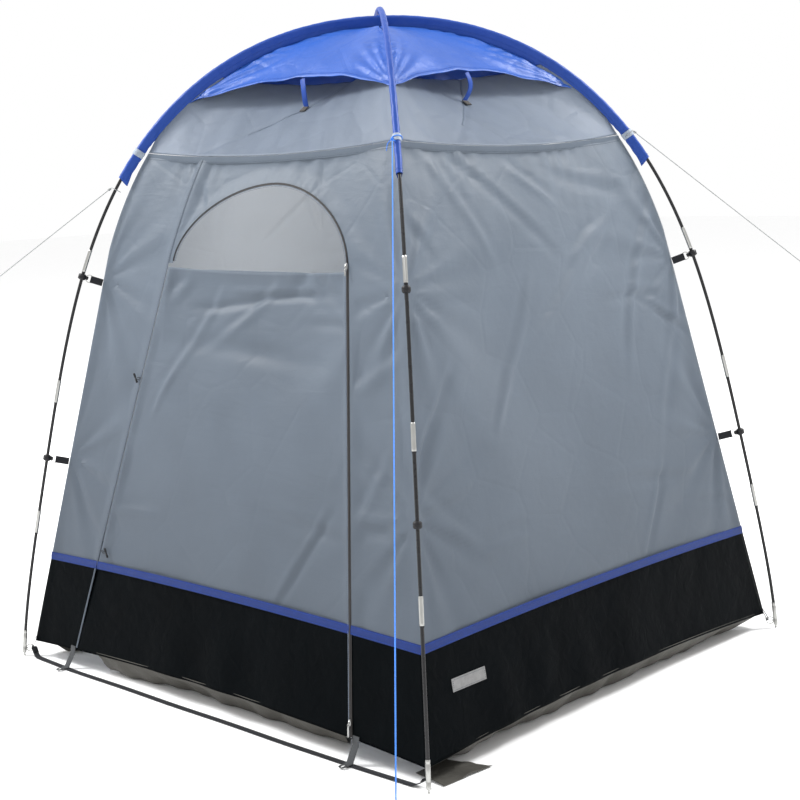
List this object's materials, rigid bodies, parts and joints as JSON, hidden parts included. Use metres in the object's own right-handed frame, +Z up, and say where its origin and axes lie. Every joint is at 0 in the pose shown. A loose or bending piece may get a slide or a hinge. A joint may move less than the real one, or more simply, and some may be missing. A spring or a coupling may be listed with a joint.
{
  "type": "privacy shower tent",
  "caption": "Corner-to-corner two-pole shower and changing tent with clipped walls, a vented canopy, a window flap and a zipped swing door.",
  "frame": {"origin": "on the ground, under the crossing of the poles", "axes": "+Z up, the door wall faces -Y, +X to the right seen from outside the door"},
  "size_m": [2.63, 2.8375, 2.111],
  "materials": {
    "glassfibre": "black pultruded glassfibre, satin",
    "steel": "zinc plated steel",
    "canopy_blue": "coated polyester, bright blue",
    "sleeve_blue": "woven polyester, dark blue",
    "stripe_blue": "woven tape, blue",
    "wall_grey": "coated polyester, blue-grey",
    "eave_grey": "coated polyester, light blue-grey",
    "skirt_black": "coated polyester, black",
    "flap_olive": "thin polyester, olive grey",
    "zip_tape": "woven zip tape with coil, dark grey",
    "zip_silver": "nickel plated zinc",
    "webbing": "woven polypropylene webbing, black",
    "cord_grey": "braided cord, grey",
    "cord_blue": "braided cord, bright blue",
    "black_plastic": "moulded toggle, black",
    "patch_grey": "plain woven patch, light grey"
  },
  "bodies": {
    "tent": {"canopy_back": "canopy_blue", "canopy_front": "canopy_blue", "canopy_left": "canopy_blue", "canopy_right": "canopy_blue", "clip_back_high": "webbing", "clip_back_low": "webbing", "clip_front_high": "webbing", "clip_front_low": "webbing", "clip_left_high": "webbing", "clip_left_low": "webbing", "clip_right_high": "webbing", "clip_right_low": "webbing", "foot_back": "steel", "foot_front": "steel", "foot_left": "steel", "foot_right": "steel", "ground_flap_back": "flap_olive", "ground_flap_left": "flap_olive", "ground_flap_right": "flap_olive", "ground_tie_seam": "webbing", "ground_tie_zip": "webbing", "guy_line_front": "cord_blue", "guy_line_left": "cord_grey", "guy_line_right": "cord_grey", "patch_plain": "patch_grey", "pole_front_back": "glassfibre", "pole_left_right": "glassfibre", "skirt_back": "skirt_black", "skirt_front_left": "skirt_black", "skirt_front_right": "skirt_black", "skirt_left": "skirt_black", "skirt_right": "skirt_black", "sleeve_front_back": "sleeve_blue", "sleeve_left_right": "sleeve_blue", "stripe_walls": "stripe_blue", "threshold_strap": "webbing", "toggle_upper": "black_plastic", "upper_panel_back": "eave_grey", "upper_panel_front": "eave_grey", "upper_panel_left": "eave_grey", "upper_panel_right": "eave_grey", "wall_back": "wall_grey", "wall_front": "wall_grey", "wall_left": "wall_grey", "wall_right": "wall_grey", "zip_tape": "zip_tape"},
    "door": {"door_panel": "wall_grey", "door_skirt": "skirt_black", "stripe_door": "stripe_blue", "ground_flap_door": "flap_olive", "toggle_lower": "black_plastic"},
    "window_flap": {"window_flap": "wall_grey"},
    "slider_upper": {"slider_upper": "zip_silver"},
    "slider_lower": {"slider_lower": "zip_silver"},
    "pull_upper": {"slider_upper_pull": "zip_silver"},
    "pull_lower": {"slider_lower_pull": "zip_silver"},
    "strut_front": {"vent_strut_front": "sleeve_blue"},
    "strut_right": {"vent_strut_right": "sleeve_blue"},
    "strut_back": {"vent_strut_back": "sleeve_blue"},
    "strut_left": {"vent_strut_left": "sleeve_blue"}
  },
  "joints": [
    {"name": "door_swing", "type": "hinge", "parent": "tent", "child": "door", "pos_m": [-0.63996, -0.86816, 0.05], "axis": [-0.2313, -0.1636, -0.959], "range_deg": [0, 100]},
    {"name": "flap_fold", "type": "hinge", "parent": "door", "child": "window_flap", "pos_m": [0, -0.65018, 1.312], "axis": [1, 0, 0], "range_deg": [0, 165]},
    {"name": "slider_upper_slide", "type": "slide", "parent": "tent", "child": "slider_upper", "axis": [0.1196, -0.1669, -0.9787], "range_m": [0, 0.55]},
    {"name": "slider_lower_slide", "type": "slide", "parent": "tent", "child": "slider_lower", "axis": [-0.1196, 0.1669, 0.9787], "range_m": [0, 0.55]},
    {"name": "pull_upper_swing", "type": "hinge", "parent": "slider_upper", "child": "pull_upper", "pos_m": [0.44244, -0.6592, 1.3243], "axis": [-1, 0, 0], "range_deg": [0, 95]},
    {"name": "pull_lower_swing", "type": "hinge", "parent": "slider_lower", "child": "pull_lower", "pos_m": [0.59148, -0.86731, 0.1043], "axis": [-1, 0, 0], "range_deg": [0, 95]},
    {"name": "strut_front_fold", "type": "hinge", "parent": "tent", "child": "strut_front", "pos_m": [0, -0.35906, 1.8785], "axis": [-1, 0, 0], "range_deg": [0, 60]},
    {"name": "strut_right_fold", "type": "hinge", "parent": "tent", "child": "strut_right", "pos_m": [0.35906, 0, 1.8785], "axis": [0, -1, 0], "range_deg": [0, 60]},
    {"name": "strut_back_fold", "type": "hinge", "parent": "tent", "child": "strut_back", "pos_m": [0, 0.35906, 1.8785], "axis": [1, 0, 0], "range_deg": [0, 60]},
    {"name": "strut_left_fold", "type": "hinge", "parent": "tent", "child": "strut_left", "pos_m": [-0.35906, 0, 1.8785], "axis": [0, 1, 0], "range_deg": [0, 60]}
  ]
}
